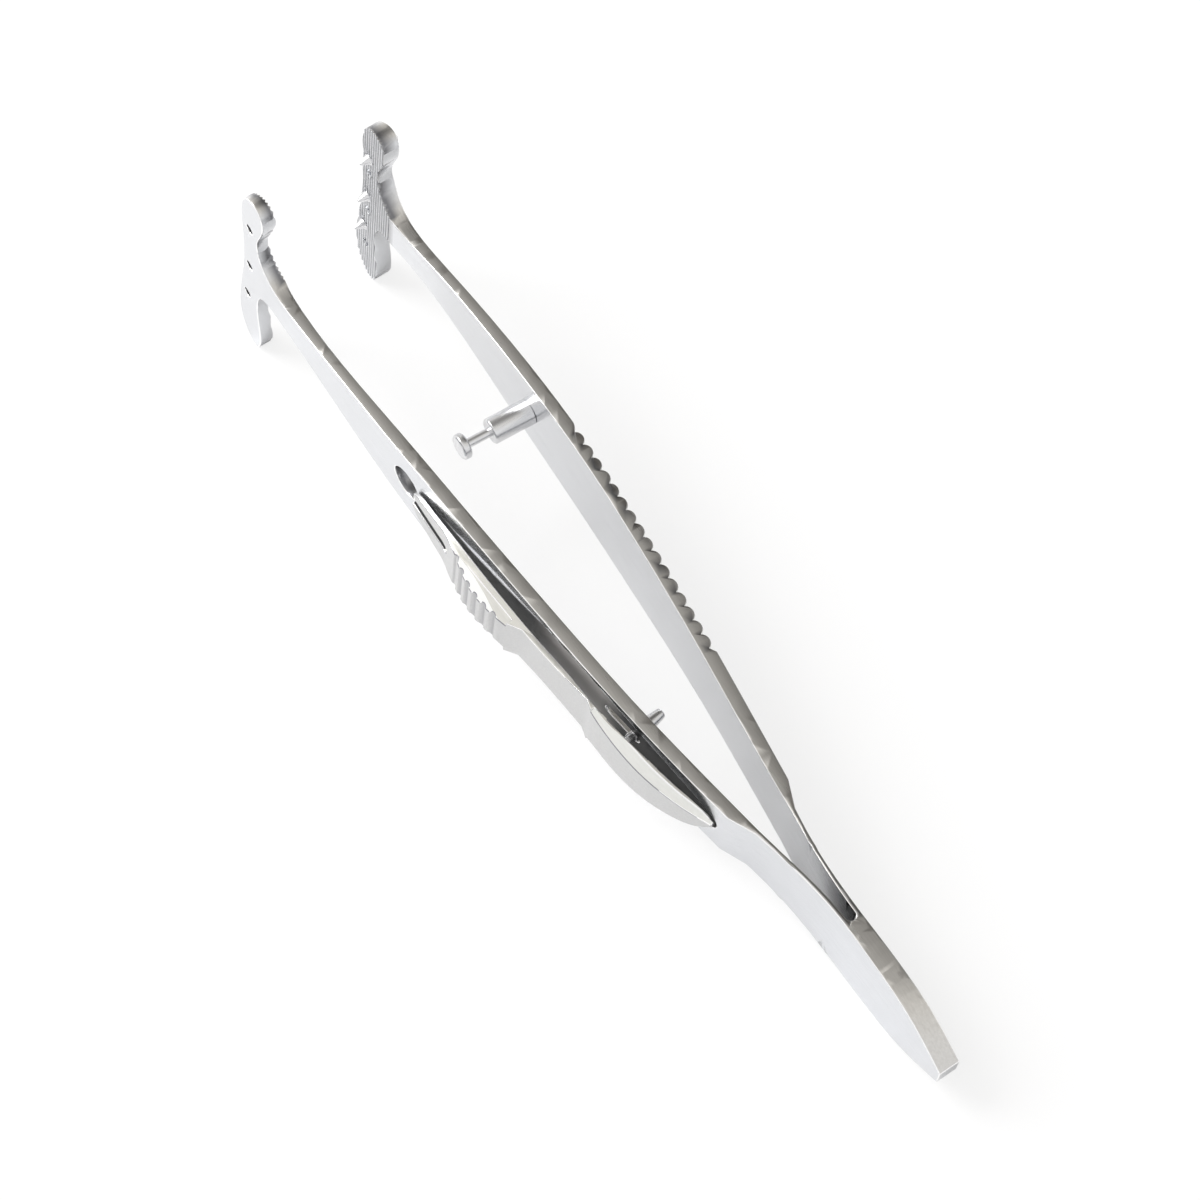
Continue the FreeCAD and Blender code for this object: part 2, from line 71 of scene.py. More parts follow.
# Edges
EDGE_ROUND = 0.09 * MM
FINE_ROUND = 0.015 * MM
SLIDE_ROUND = 0.08 * MM
SHARP_ANGLE = math.radians(30)
SMOOTH_ANGLE = math.radians(35)
FLAT_ANGLE = math.radians(0.5)
FLAT_WEIGHT = 80
WELD, ROOT_WELD = 0.002 * MM, 0.01 * MM

# Places on the arms that have a finish, a painted shade or a painted highlight of their own
JAW_START_X = 95.4 * MM
JAW_OUTER_Y = 7.0 * MM
RIDGE_DEPTH = 0.20 * MM
PIN_HOLE_R = 0.56 * MM
GRIP_START_X, GRIP_END_X = 42.2 * MM, 68.8 * MM
GRIP_DEPTH = 0.42 * MM
CHANNEL_START_X, CHANNEL_END_X = 29.0 * MM, 72.0 * MM
NOTCH_X, NOTCH_SHADE_X = 15.4 * MM, 27.0 * MM
CROWN = 0.012 * MM
ROOT_START_X, ROOT_START_Z = 92.2 * MM, 2.15 * MM
ROOT_LOW_X, ROOT_LOW_Z = 93.65 * MM, 2.09 * MM


# Shared effects

GRAIN_DEPTH = 0.01 * MM
# Specular of buffed steel, and the low specular of the dull steels that carry painted shade
BUFFED_SPECULAR, DULL_SHADE_SPECULAR = 0.5, 0.12


def new_group(name, inputs, outputs):
    """A shader node group with its named sockets."""
    group = bpy.data.node_groups.new(name, "ShaderNodeTree")
    for socket, kind, value in inputs:
        made = group.interface.new_socket(name=socket, in_out="INPUT", socket_type=kind)
        if value is not None:
            made.default_value = value
    for socket, kind in outputs:
        group.interface.new_socket(name=socket, in_out="OUTPUT", socket_type=kind)
    return group, group.nodes.new("NodeGroupInput"), group.nodes.new("NodeGroupOutput")


def grain_group():
    """Fine scratches along X: a mask and a bumped normal."""
    group, given, out = new_group("steel_grain", [
        ("Along", "NodeSocketFloat", 300.0), ("Across", "NodeSocketFloat", 6000.0),
        ("Bump", "NodeSocketFloat", 0.1)], [
        ("Mask", "NodeSocketFloat"), ("Normal", "NodeSocketVector")])
    nodes, links = group.nodes, group.links
    place = nodes.new("ShaderNodeTexCoord")
    stretch = nodes.new("ShaderNodeCombineXYZ")
    links.new(given.outputs["Along"], stretch.inputs["X"])
    links.new(given.outputs["Across"], stretch.inputs["Y"])
    links.new(given.outputs["Across"], stretch.inputs["Z"])
    scale = nodes.new("ShaderNodeVectorMath")
    scale.operation = "MULTIPLY"
    links.new(place.outputs["Object"], scale.inputs[0])
    links.new(stretch.outputs["Vector"], scale.inputs[1])
    noise = nodes.new("ShaderNodeTexNoise")
    noise.inputs["Scale"].default_value = 1.0
    noise.inputs["Detail"].default_value = 3.0
    noise.inputs["Roughness"].default_value = 0.6
    links.new(scale.outputs["Vector"], noise.inputs["Vector"])
    bump = nodes.new("ShaderNodeBump")
    bump.inputs["Distance"].default_value = GRAIN_DEPTH
    links.new(given.outputs["Bump"], bump.inputs["Strength"])
    links.new(noise.outputs["Fac"], bump.inputs["Height"])
    links.new(noise.outputs["Fac"], out.inputs["Mask"])
    links.new(bump.outputs["Normal"], out.inputs["Normal"])
    return group


def cloud_group():
    """Slow changes of tone over a surface, as polishing leaves them."""
    group, given, out = new_group("steel_clouds", [
        ("Size", "NodeSocketFloat", 120.0), ("Amount", "NodeSocketFloat", 0.1)], [
        ("Factor", "NodeSocketFloat")])
    nodes, links = group.nodes, group.links
    place = nodes.new("ShaderNodeTexCoord")
    noise = nodes.new("ShaderNodeTexNoise")
    noise.inputs["Detail"].default_value = 2.0
    links.new(place.outputs["Object"], noise.inputs["Vector"])
    links.new(given.outputs["Size"], noise.inputs["Scale"])
    centre = nodes.new("ShaderNodeMath")
    centre.operation = "SUBTRACT"
    centre.inputs[1].default_value = 0.5
    links.new(noise.outputs["Fac"], centre.inputs[0])
    size = nodes.new("ShaderNodeMath")
    size.operation = "MULTIPLY"
    links.new(centre.outputs[0], size.inputs[0])
    links.new(given.outputs["Amount"], size.inputs[1])
    links.new(size.outputs[0], out.inputs["Factor"])
    return group


GRAIN = grain_group()
CLOUDS = cloud_group()
# Mesh attributes: depth of the painted shade in hollows, how much a corner faces up or down, and its place
# across an edge
HOLLOW_SHADE, FACING_UP, ACROSS = "hollow_shade", "facing_up", "across"


def stored(nodes, name):
    """The value of one of the mesh's own attributes."""
    found = nodes.new("ShaderNodeAttribute")
    found.attribute_name = name
    return found.outputs["Fac"]


def mixed(nodes, links, factor, a, b):
    """Two colours, or sockets that give them, mixed by a factor."""
    mix = nodes.new("ShaderNodeMix")
    mix.data_type = "RGBA"
    links.new(factor, mix.inputs["Factor"])
    for socket, value in (("A", a), ("B", b)):
        if isinstance(value, tuple):
            mix.inputs[socket].default_value = (*value, 1)
        else:
            links.new(value, mix.inputs[socket])
    return mix.outputs["Result"]


def worked(nodes, links, operation, a, b):
    """One step of arithmetic on sockets or numbers."""
    step = nodes.new("ShaderNodeMath")
    step.operation = operation
    for i, value in enumerate((a, b)):
        if isinstance(value, float):
            step.inputs[i].default_value = value
        else:
            links.new(value, step.inputs[i])
    return step.outputs[0]


def ranged(nodes, links, value, start, end, low=0.0, high=1.0, kind="LINEAR"):
    """A socket's value carried over from one range to another."""
    step = nodes.new("ShaderNodeMapRange")
    step.interpolation_type = kind
    step.inputs["From Min"].default_value = start
    step.inputs["From Max"].default_value = end
    step.inputs["To Min"].default_value = low
    step.inputs["To Max"].default_value = high
    links.new(value, step.inputs["Value"])
    return step.outputs["Result"]


def ramped(nodes, links, value, stops, kind="LINEAR"):
    """The colour that a row of (place, colour) stops gives for a socket's value."""
    made = nodes.new("ShaderNodeValToRGB")
    made.color_ramp.interpolation = kind
    elements = made.color_ramp.elements
    for number, (place, colour) in enumerate(stops):
        stop = elements[number] if number < 2 else elements.new(1.0)
        stop.position, stop.color = place, (*colour, 1)
    links.new(value, made.inputs["Fac"])
    return made.outputs["Color"]


def steel(name, light, dark, roughness, spread, along, across, bump, cloud=0.12, hollow_shade=None,
          side=None, crowned=False, dull=False):
    """Steel whose colour and roughness follow its grain and slow clouds of polish. It darkens in hollows to
    the given colour, which is painted shade, takes the side's two tones where it turns away from up or
    down, and a crowned edge is slightly round from one border to the other. Dull steel barely shines; the
    surfaces painted dark as shade use it."""
    made = bpy.data.materials.new(name)
    made.use_nodes = True
    nodes, links = made.node_tree.nodes, made.node_tree.links
    shader = nodes["Principled BSDF"]
    shader.inputs["Metallic"].default_value = 0.0 if dull else 1.0
    shader.inputs["Specular IOR Level"].default_value = DULL_SHADE_SPECULAR if dull else BUFFED_SPECULAR
    grain = nodes.new("ShaderNodeGroup")
    grain.node_tree = GRAIN
    grain.inputs["Along"].default_value = along
    grain.inputs["Across"].default_value = across
    grain.inputs["Bump"].default_value = bump
    clouds = nodes.new("ShaderNodeGroup")
    clouds.node_tree = CLOUDS
    clouds.inputs["Amount"].default_value = cloud
    tone = nodes.new("ShaderNodeMath")
    tone.operation = "ADD"
    tone.use_clamp = True
    links.new(grain.outputs["Mask"], tone.inputs[0])
    links.new(clouds.outputs["Factor"], tone.inputs[1])
    shown = mixed(nodes, links, tone.outputs[0], dark, light)
    if side:
        flat = mixed(nodes, links, tone.outputs[0], side[1], side[0])
        shown = mixed(nodes, links, stored(nodes, FACING_UP), flat, shown)
    if hollow_shade:
        shown = mixed(nodes, links, stored(nodes, HOLLOW_SHADE), shown, hollow_shade)
    links.new(shown, shader.inputs["Base Color"])
    rough = ranged(nodes, links, tone.outputs[0], 0.0, 1.0, roughness + spread, roughness - spread)
    links.new(rough, shader.inputs["Roughness"])
    if crowned:
        place = stored(nodes, ACROSS)
        crown = nodes.new("ShaderNodeBump")
        crown.invert = True
        crown.inputs["Distance"].default_value = CROWN
        links.new(worked(nodes, links, "MULTIPLY", place, place), crown.inputs["Height"])
        links.new(grain.outputs["Normal"], crown.inputs["Normal"])
        links.new(crown.outputs["Normal"], shader.inputs["Normal"])
    else:
        links.new(grain.outputs["Normal"], shader.inputs["Normal"])
    return made


# Painted shade along the channel's floor, nearly black under both pads and lighter where the floor shows
# lit under the thin bar: X in mm and colour
CHANNEL_SHADE_TONES = ((29.0, (0.02, 0.02, 0.02)), (42.5, (0.03, 0.03, 0.03)), (45.5, (0.54, 0.52, 0.50)),
                 (51.5, (0.40, 0.38, 0.37)), (55.0, (0.03, 0.03, 0.03)), (72.0, (0.02, 0.02, 0.02)))
# Lower border of the channel's painted highlight strip: X and Z in mm
SHEEN_STRIP_BORDER = ((29.0, 4.0), (49.5, 4.0), (54.4, 2.5), (59.5, 1.6), (64.0, 0.9), (72.0, 0.75))
BORDER_SPAN = 8 * MM
BORDER_BLUR = 0.30 * MM
# Painted shadow line under the channel's upper rim: its start and end in Z and its tone, then the painted
# highlight strip's tone
SHADOW_LINE_START_Z, SHADOW_LINE_END_Z = 3.35 * MM, 3.50 * MM
SHADOW_LINE_TONE, SHEEN_STRIP_TONE = (0.03, 0.03, 0.03), (0.88, 0.89, 0.92)
FLOOR_ROUGHNESS, STRIP_ROUGHNESS = 0.42, 0.12


def painted_channel_steel():
    """The slide's channel, painted: nearly black shade under both pads, a lighter brushed tone under the
    thin bar, a painted shadow line under the upper rim, and a polished metallic strip with a painted
    highlight where its upper side runs out towards the stud's hole."""
    made = steel("milled_channel_painted_shade_and_sheen", (0.5, 0.5, 0.5), (0.4, 0.4, 0.4), FLOOR_ROUGHNESS, 0.08,
                 200, 6000, 0.06, dull=True)
    nodes, links = made.node_tree.nodes, made.node_tree.links
    shader = nodes["Principled BSDF"]
    place = nodes.new("ShaderNodeTexCoord")
    parts = nodes.new("ShaderNodeSeparateXYZ")
    links.new(place.outputs["Object"], parts.inputs["Vector"])
    along = ranged(nodes, links, parts.outputs["X"], CHANNEL_START_X, CHANNEL_END_X)
    first = CHANNEL_START_X / MM
    run = CHANNEL_END_X / MM - first
    tones = ramped(nodes, links, along, [((x - first) / run, tone) for x, tone in CHANNEL_SHADE_TONES])
    border = ramped(nodes, links, along, [
        ((x - first) / run, (z * MM / BORDER_SPAN + 0.5,) * 3) for x, z in SHEEN_STRIP_BORDER])
    level = worked(nodes, links, "MULTIPLY", worked(nodes, links, "SUBTRACT", border, 0.5), BORDER_SPAN)
    above = worked(nodes, links, "SUBTRACT", parts.outputs["Z"], level)
    # Painted highlight strip above the border, painted shadow line under the upper rim
    bright = ranged(nodes, links, above, -BORDER_BLUR, BORDER_BLUR, kind="SMOOTHSTEP")
    line = ranged(nodes, links, parts.outputs["Z"], SHADOW_LINE_START_Z, SHADOW_LINE_END_Z)
    shown = mixed(nodes, links, line, tones, SHADOW_LINE_TONE)
    shown = mixed(nodes, links, bright, shown, SHEEN_STRIP_TONE)
    links.new(shown, shader.inputs["Base Color"])
    links.new(bright, shader.inputs["Metallic"])
    polish = ranged(nodes, links, bright, 0.0, 1.0, FLOOR_ROUGHNESS, STRIP_ROUGHNESS)
    links.new(polish, shader.inputs["Roughness"])
    return made


# The colours for hollows given to some steels below are painted shade: in the notch, the jaw ridges, the
# grip's valleys and the thumb pad's grooves
FACE_TONES = ((0.68, 0.69, 0.71), (0.60, 0.61, 0.63))
satin = steel("satin_face_steel", *FACE_TONES, 0.24, 0.04, 150, 2500, 0.05)
inner = steel("satin_inner_steel", (0.80, 0.81, 0.83), (0.71, 0.72, 0.74), 0.24, 0.04, 150, 2500, 0.05,
              hollow_shade=(0.03, 0.027, 0.027))
edge = steel("brushed_edge_steel", (0.74, 0.725, 0.70), (0.52, 0.505, 0.48), 0.30, 0.07, 120, 5200, 0.35,
             hollow_shade=(0.20, 0.20, 0.21), side=FACE_TONES, crowned=True)
rounded = steel("polished_edge_steel", (0.95, 0.95, 0.95), (0.88, 0.88, 0.88), 0.20, 0.04, 200, 4000, 0.05)
jaw = steel("ridged_jaw_steel", (0.84, 0.85, 0.87), (0.62, 0.63, 0.65), 0.33, 0.08, 900, 900, 0.4,
            hollow_shade=(0.05, 0.05, 0.06))
channel = painted_channel_steel()
# Near-black painted shade for the walls of the left jaw bar's pin holes
bore = steel("drilled_bore_painted_shade", (0.06, 0.06, 0.06), (0.02, 0.02, 0.02), 0.45, 0.08, 4000, 700, 0.4,
             dull=True)
reamed = steel("reamed_hole_steel", (0.46, 0.46, 0.47), (0.16, 0.16, 0.17), 0.32, 0.08, 700, 3200, 0.6)
blasted = steel("blasted_slide_steel", (0.64, 0.64, 0.64), (0.53, 0.53, 0.53), 0.52, 0.05, 5200, 5200, 0.5,
                hollow_shade=(0.26, 0.26, 0.28))
# Near-white painted glint for the thumb pad's bevel above the glint plane; below it the bevel takes the
# bar's ground steel
bevelled = steel("ground_slide_painted_glint", (0.98, 0.98, 0.96), (0.92, 0.92, 0.90), 0.30, 0.05, 160, 3500, 0.15)
tail_bevelled = steel("ground_tail_steel", (0.80, 0.80, 0.77), (0.70, 0.70, 0.67), 0.36, 0.05, 160,
                      3500, 0.15)
# Painted dark reflection line on the pads' rounded strip between the blasted face and the ground bevel
dark_line = steel("painted_dark_line_steel", (0.30, 0.30, 0.32), (0.12, 0.12, 0.14), 0.45, 0.05, 2600, 2600, 0.4,
             dull=True)
# A lighter copy of the bar's ground steel on the thumb pad's side faces: painted sheen
flank = steel("ground_flank_painted_sheen", (0.95, 0.94, 0.89), (0.80, 0.79, 0.74), 0.50, 0.06, 200, 4200, 0.2)
bar_flank = steel("ground_bar_steel", (0.70, 0.69, 0.65), (0.54, 0.53, 0.50), 0.50, 0.06, 200, 4200, 0.2)
# Near-black painted shade for the slide's underside under the bar and tail, and inside its fork
underside = steel("slide_underside_painted_shade", (0.10, 0.10, 0.10), (0.05, 0.05, 0.05), 0.5, 0.06, 300, 4000, 0.2,
                  dull=True)
turned = steel("turned_steel", (0.80, 0.80, 0.81), (0.62, 0.62, 0.63), 0.26, 0.06, 6000, 250, 0.25)


# Tools for the pieces. Slopes are shares of Z in a face's normal.

TOP_SLOPE, LEAF_SLOPE = 0.4, 0.1


def only(piece):
    """Makes one piece the only selected and active object, in object mode."""
    if bpy.context.mode != "OBJECT":
        bpy.ops.object.mode_set(mode="OBJECT")
    bpy.ops.object.select_all(action="DESELECT")
    piece.select_set(True)
    bpy.context.view_layer.objects.active = piece


def welded_copy(node, name):
    """A copy of a CAD node whose loose triangles are joined into whole flat faces."""
    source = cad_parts[node]
    piece = source.copy()
    piece.data = source.data.copy()
    piece.name = piece.data.name = name
    piece.parent = None
    bpy.context.scene.collection.objects.link(piece)
    piece.data.materials.clear()
    only(piece)
    bpy.ops.object.mode_set(mode="EDIT")
    bpy.ops.mesh.select_all(action="SELECT")
    bpy.ops.mesh.remove_doubles(threshold=WELD)
    bpy.ops.mesh.dissolve_limited(angle_limit=FLAT_ANGLE)
    bpy.ops.object.mode_set(mode="OBJECT")
    if piece.data.has_custom_normals:
        bpy.ops.mesh.customdata_custom_splitnormals_clear()
    return piece


def cut_at(piece, x, drop_above=False, drop_below=False):
    """Cuts a piece square to X, and drops one side if asked."""
    only(piece)
    bpy.ops.object.mode_set(mode="EDIT")
    bpy.ops.mesh.select_all(action="SELECT")
    bpy.ops.mesh.bisect(plane_co=(x, 0, 0), plane_no=(1, 0, 0), clear_outer=drop_above,
                        clear_inner=drop_below)
    bpy.ops.object.mode_set(mode="OBJECT")


def join(pieces):
    """Makes one object out of several."""
    only(pieces[0])
    for piece in pieces:
        piece.select_set(True)
    bpy.ops.object.join()
    return bpy.context.view_layer.objects.active


def select_edges(piece, wanted):
    """Selects the edges for which wanted(middle, edge) holds, in edge mode."""
    only(piece)
    bpy.ops.object.mode_set(mode="EDIT")
    bpy.ops.mesh.select_mode(type="EDGE")
    bpy.ops.mesh.select_all(action="DESELECT")
    mesh = bmesh.from_edit_mesh(piece.data)
    for e in mesh.edges:
        middle = (e.verts[0].co + e.verts[1].co) / 2
        e.select = wanted(middle, e)
    mesh.select_flush_mode()
    bmesh.update_edit_mesh(piece.data)


def select_faces(piece, wanted):
    """Selects the faces for which wanted(middle, normal) holds, in face mode."""
    only(piece)
    bpy.ops.object.mode_set(mode="EDIT")
    bpy.ops.mesh.select_mode(type="FACE")
    bpy.ops.mesh.select_all(action="DESELECT")
    mesh = bmesh.from_edit_mesh(piece.data)
    for f in mesh.faces:
        f.select = wanted(f.calc_center_median(), f.normal)
    mesh.select_flush_mode()
    bmesh.update_edit_mesh(piece.data)


def bridge_leaf(piece, side):
    """Closes the gap in the middle of one leaf with a bridge between its two cut ends."""
    select_edges(piece, lambda middle, e: e.is_boundary and middle.y * side > 0)
    bpy.ops.mesh.bridge_edge_loops(number_cuts=2)
    bpy.ops.object.mode_set(mode="OBJECT")


def runs_over(e):
    """Whether an edge only bends a top, a lower face or a leaf, and so isn't a border."""
    first, second = (f.normal.z for f in e.link_faces)
    if min(abs(first), abs(second)) > TOP_SLOPE and first * second > 0:
        return True
    in_leaf = NOTCH_X < e.verts[0].co.x < CHANNEL_START_X
    return in_leaf and max(abs(first), abs(second)) < LEAF_SLOPE


def round_edges(piece, width, rounded_slot, fine=None, keep=None):
    """Rounds the convex edges. Where fine(middle) holds, they get the fine rounding, and where keep(e)
    holds none. The rounded strips take the given material slot."""
    mesh = bmesh.new()
    mesh.from_mesh(piece.data)
    layer = mesh.edges.layers.float.new("bevel_weight_edge")
    for e in mesh.edges:
        if len(e.link_faces) == 2 and e.is_convex and e.calc_face_angle() > SHARP_ANGLE:
            middle = (e.verts[0].co + e.verts[1].co) / 2
            if not (keep and keep(e)):
                e[layer] = FINE_ROUND / width if fine and fine(middle) else 1.0
    mesh.to_mesh(piece.data)
    mesh.free()
    only(piece)
    bevel = piece.modifiers.new("rounded_edges", "BEVEL")
    bevel.limit_method = "WEIGHT"
    bevel.width = width
    bevel.segments = 2
    bevel.use_clamp_overlap = False
    bevel.material = rounded_slot
    bevel.face_strength_mode = "FSTR_NEW"
    bpy.ops.object.modifier_apply(modifier=bevel.name)


def smooth(piece):
    """Smooth shading up to the limit angle, with the large faces kept flat."""
    only(piece)
    bpy.ops.object.shade_smooth_by_angle(angle=SMOOTH_ANGLE)
    weighted = piece.modifiers.new("face_weighted_normals", "WEIGHTED_NORMAL")
    weighted.keep_sharp = True
    weighted.use_face_influence = True
    weighted.weight = FLAT_WEIGHT


def finish_with(piece, *materials):
    """Fills the piece's material slots in order."""
    for material in materials:
        piece.data.materials.append(material)


# Heel and arms, made as one blade so that its edges run through, then parted again

SATIN, EDGE, ROUNDED, JAW, CHANNEL, BORE, INNER, REAMED = range(8)
STUD_HOLE_X, STUD_HOLE_R = 73.15 * MM, 1.82 * MM
# The arms' outer face: X and Y
ARM_OUTER = [(x * MM, y * MM) for x, y in (
    (26.4, 2.20), (29.0, 3.36), (33.5, 4.02), (43.6, 5.34), (49.0, 5.93), (54.5, 6.42), (60.0, 6.86),
    (65.5, 7.21), (71.0, 7.45), (76.4, 7.55), (87.0, 7.50), (97.2, 7.42), (101.6, 7.12))]
JAW_FRONT_X = 101.6 * MM
JAW_ROOT_X, JAW_ROOT_Y = 96.2 * MM, 5.82 * MM
OPEN_ANGLE = math.radians(4.43)
JAW_INSET = 0.25 * MM
EDGE_SLOPE, UPRIGHT_SLOPE = 0.25, 0.5
SUNK_DEPTH = 0.2 * MM
GRIP_BAND = 0.9 * MM
GRIP_SHADE, NOTCH_SHADE = 0.8, 0.7
UP_START, UP_RUN = 0.45, 0.45
# Holes and pins of the jaw bars: distance behind the jaws' front and height, in mm
PIN_PLACES = ((2.0, 7.7), (1.95, 0.6), (1.5, -5.5), (2.05, 5.2), (2.05, -1.9), (1.9, -8.6))


def in_jaw(middle):
    """Whether a place is on the ridges of a jaw."""
    return middle.x > JAW_START_X and abs(middle.y) < JAW_OUTER_Y - JAW_INSET


def outer_y(x):
    """Distance of the arms' outer face from the middle plane, along smooth runs between points."""
    for (x0, y0), (x1, y1) in zip(ARM_OUTER, ARM_OUTER[1:]):
        if x <= x1:
            break
    return y0 + (y1 - y0) * (x - x0) / (x1 - x0)


def paint_blade(piece):
    """Gives edges, jaw ridges, bores and the channel their own finish, by place and direction. The left jaw
    bar's bores get black painted shade, and the channel painted shade and a painted highlight strip.
    """
    for f in piece.data.polygons:
        c, n = f.center, f.normal
        inwards = -n.y if c.y > 0 else n.y
        sunk = outer_y(c.x) - abs(c.y)
        in_channel = CHANNEL_START_X < c.x < CHANNEL_END_X and sunk > SUNK_DEPTH
        is_wall = abs(n.y) < UPRIGHT_SLOPE
        if f.material_index == ROUNDED:
            continue
        if c.x > JAW_START_X and abs(c.y) < JAW_OUTER_Y and inwards > 0.2:
            f.material_index = JAW
        # Pin holes: black painted shade in the left jaw bar's, satin in the right one's
        elif c.x > JAW_START_X and is_wall and in_pin_hole(c):
            f.material_index = BORE if c.y > 0 else SATIN
        elif c.y > 0 and is_wall and math.hypot(c.x - STUD_HOLE_X, c.z) < 1.1 * STUD_HOLE_R:
            f.material_index = REAMED
        elif abs(n.z) > EDGE_SLOPE:
            f.material_index = EDGE
        elif inwards > 0.3:
            f.material_index = INNER
        # The channel's faces take its painted shade and painted highlight
        elif c.y > 0 and in_channel and inwards < -0.5:
            f.material_index = CHANNEL


def in_pin_hole(c):
    """Whether a face of a jaw bar is the wall of one of its holes."""
    for back, z in PIN_PLACES:
        if math.hypot(c.x - (JAW_FRONT_X - back * MM), c.z - z * MM) < PIN_HOLE_R:
            return True
    return False


def hollow_shade_values(piece, depth_at):
    """Stores how deep each corner of the mesh lies, from 0 to 1, for the material to darken it with painted
    shade.
    """
    values = piece.data.attributes.new(HOLLOW_SHADE, "FLOAT", "POINT")
    for i, v in enumerate(piece.data.vertices):
        values.data[i].value = max(0.0, min(1.0, depth_at(v.co)))


def blade_hollow_shade(co):
    """Depth of the painted shade in the ridges of a jaw, in the valleys of the right arm's grip and in the
    notch.
    """
    if in_jaw(co):
        crest = JAW_ROOT_Y + (co.x - JAW_ROOT_X) * math.tan(OPEN_ANGLE)
        return (abs(co.y) - crest) / RIDGE_DEPTH
    if co.y < 0 and GRIP_START_X < co.x < GRIP_END_X and abs(co.y) > outer_y(co.x) - GRIP_BAND:
        return GRIP_SHADE * (outer_y(co.x) - abs(co.y)) / GRIP_DEPTH
    if NOTCH_X - 0.5 * MM < co.x < NOTCH_SHADE_X:
        return NOTCH_SHADE * (NOTCH_SHADE_X - co.x) / (NOTCH_SHADE_X - NOTCH_X)
    return 0.0


def border_at(border, x):
    """Y of an edge's border at X, from the places of its corners."""
    after = next((i for i, place in enumerate(border) if place[0] >= x), len(border) - 1)
    (x0, y0), (x1, y1) = border[max(after - 1, 0)], border[after]
    return y1 if x1 <= x0 else y0 + (y1 - y0) * min(1.0, (x - x0) / (x1 - x0))


def edge_values(piece):
    """Stores how much each corner faces up or down, and how far it lies across an edge."""
    facing = piece.data.attributes.new(FACING_UP, "FLOAT", "POINT")
    across = piece.data.attributes.new(ACROSS, "FLOAT", "POINT")
    mesh = bmesh.new()
    mesh.from_mesh(piece.data)
    borders, inside = {}, []
    for v in mesh.verts:
        slopes = [abs(f.normal.z) for f in v.link_faces if f.material_index != ROUNDED]
        steep = sum(slopes) / len(slopes) if slopes else 0.0
        facing.data[v.index].value = max(0.0, min(1.0, (steep - UP_START) / UP_RUN))
        if not any(f.material_index == EDGE for f in v.link_faces):
            continue
        lean = sum(f.normal.y for f in v.link_faces if f.material_index == ROUNDED)
        arm = (v.co.x < NOTCH_X or v.co.y > 0, v.co.z > 0)
        if lean:
            across.data[v.index].value = math.copysign(1.0, lean)
            borders.setdefault((arm, lean > 0), []).append((v.co.x, v.co.y))
        else:
            inside.append((v, arm))
    for border in borders.values():
        border.sort()
    for v, arm in inside:
        if (arm, False) in borders and (arm, True) in borders:
            low, high = (border_at(borders[arm, far], v.co.x) for far in (False, True))
            if high - low > 0.1 * MM:
                across.data[v.index].value = max(-1.0, min(1.0, 2 * (v.co.y - low) / (high - low) - 1))
    mesh.free()


def level_root(piece):
    """Takes the small step off the arm's top and lower edge where the jaw bar's fillet starts."""
    for v in piece.data.vertices:
        if ROOT_START_X - 0.01 * MM < v.co.x < ROOT_LOW_X:
            share = (v.co.x - ROOT_START_X) / (ROOT_LOW_X - ROOT_START_X)
            most = ROOT_START_Z + (ROOT_LOW_Z - ROOT_START_Z) * share
            v.co.z = max(-most, min(most, v.co.z))
    select_faces(piece, lambda c, n: True)
    bpy.ops.mesh.remove_doubles(threshold=ROOT_WELD)
    bpy.ops.object.mode_set(mode="OBJECT")


def blade():
    """The heel with both arms as one piece, its leaves bridged, its edges rounded and its faces painted."""
    heel_half = welded_copy("heel", "blade")
    cut_at(heel_half, HINGE_X - GAP_BEHIND, drop_above=True)
    arms = []
    for node in ("left_arm", "right_arm"):
        arm = welded_copy(node, node + "_blade")
        level_root(arm)
        cut_at(arm, HINGE_X + GAP_AHEAD, drop_below=True)
        arms.append(arm)
    whole = join([heel_half] + arms)
    for side in (1, -1):
        bridge_leaf(whole, side)
    finish_with(whole, satin, edge, rounded, jaw, channel, bore, inner, reamed)
    select_faces(whole, lambda c, n: True)
    bpy.ops.mesh.normals_make_consistent(inside=False)
    bpy.ops.mesh.dissolve_limited(angle_limit=FLAT_ANGLE)
    bpy.ops.object.mode_set(mode="OBJECT")
    round_edges(whole, EDGE_ROUND, ROUNDED, in_jaw, runs_over)
    x = CUT_STEP
    while x < JAW_FRONT_X - CUT_STEP:
        cut_at(whole, x)
        x += FLEX_STEP if FLEX_START_X <= x < FLEX_END_X else CUT_STEP
    cut_at(whole, HEEL_CUT_X)
    paint_blade(whole)
    hollow_shade_values(whole, blade_hollow_shade)
    edge_values(whole)
    return whole


def parted(whole, name, wanted):
    """A copy of the blade with only the faces for which wanted(middle) holds."""
    piece = whole.copy()
    piece.data = whole.data.copy()
    piece.name = piece.data.name = name
    bpy.context.scene.collection.objects.link(piece)
    select_faces(piece, lambda c, n: not wanted(c))
    bpy.ops.mesh.delete(type="FACE")
    select_edges(piece, lambda middle, e: e.is_boundary)
    bpy.ops.mesh.edge_face_add()
    bpy.ops.object.mode_set(mode="OBJECT")
    smooth(piece)
    return piece


whole = blade()
heel_piece = parted(whole, "heel_block", lambda c: c.x < HEEL_CUT_X)
left_piece = parted(whole, "left_spring_arm", lambda c: c.x > HEEL_CUT_X and c.y > 0)
right_piece = parted(whole, "right_spring_arm", lambda c: c.x > HEEL_CUT_X and c.y < 0)
bpy.data.objects.remove(whole)
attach(heel_piece, "heel")
for piece, body, side in ((left_piece, "left_arm", 1), (right_piece, "right_arm", -1)):
    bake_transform(piece)
    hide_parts(body)
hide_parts("heel")


# The lock slide

